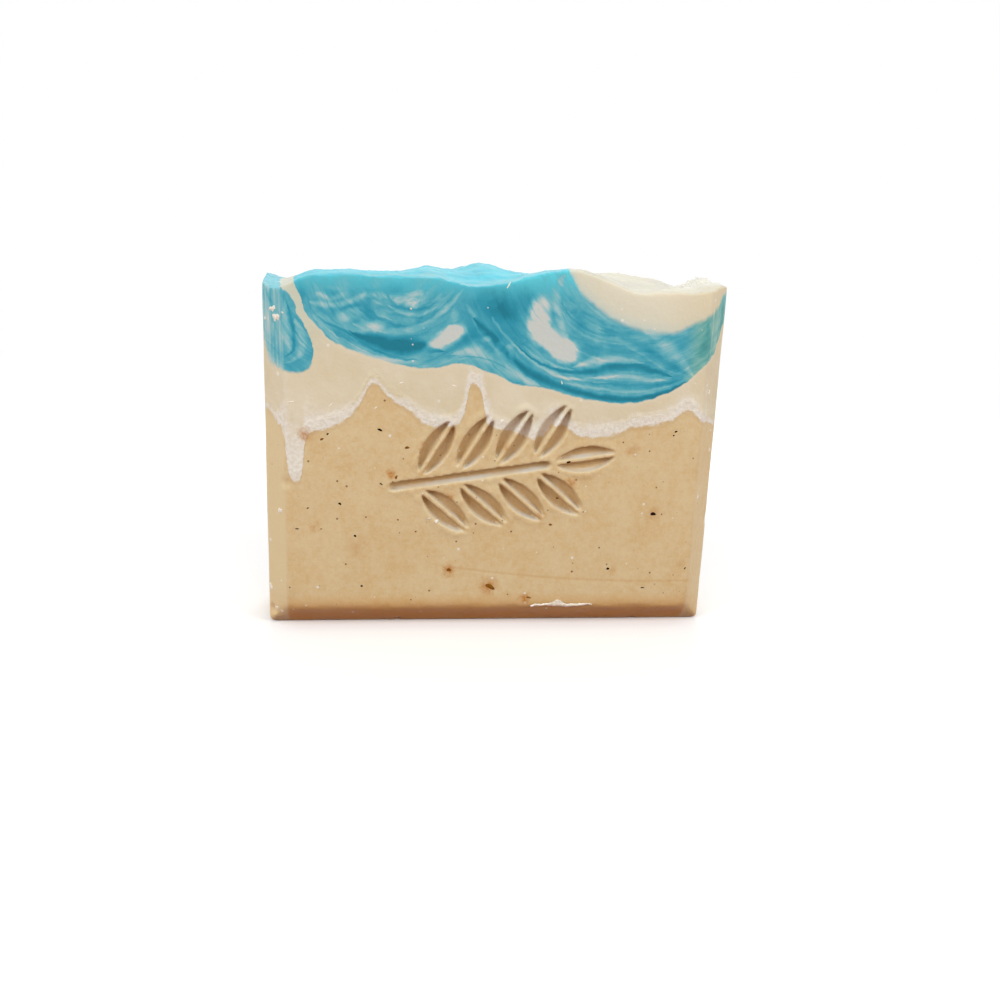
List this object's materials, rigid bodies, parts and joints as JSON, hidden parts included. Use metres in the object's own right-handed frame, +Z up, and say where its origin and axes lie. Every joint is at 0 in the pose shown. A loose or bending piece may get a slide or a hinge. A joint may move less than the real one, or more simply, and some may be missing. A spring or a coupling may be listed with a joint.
{
  "type": "bar of soap",
  "caption": "Handmade soap bar, a flat slice of a swirled loaf with bevelled edges, a wavy textured top and a leafy sprig pressed into its front; it stands on its long edge.",
  "frame": {"origin": "middle of the foot, the narrow long face that the bar stands on", "axes": "+X along the bar's length, to the right seen from the stamped front, which faces -Y; +Z up to the wavy top"},
  "size_m": [0.089, 0.0254, 0.0715],
  "materials": {
    "soap": "cured soap, satin, cream and blue swirl over beige"
  },
  "bodies": {
    "root": {"soap_bar": "soap"}
  },
  "joints": []
}
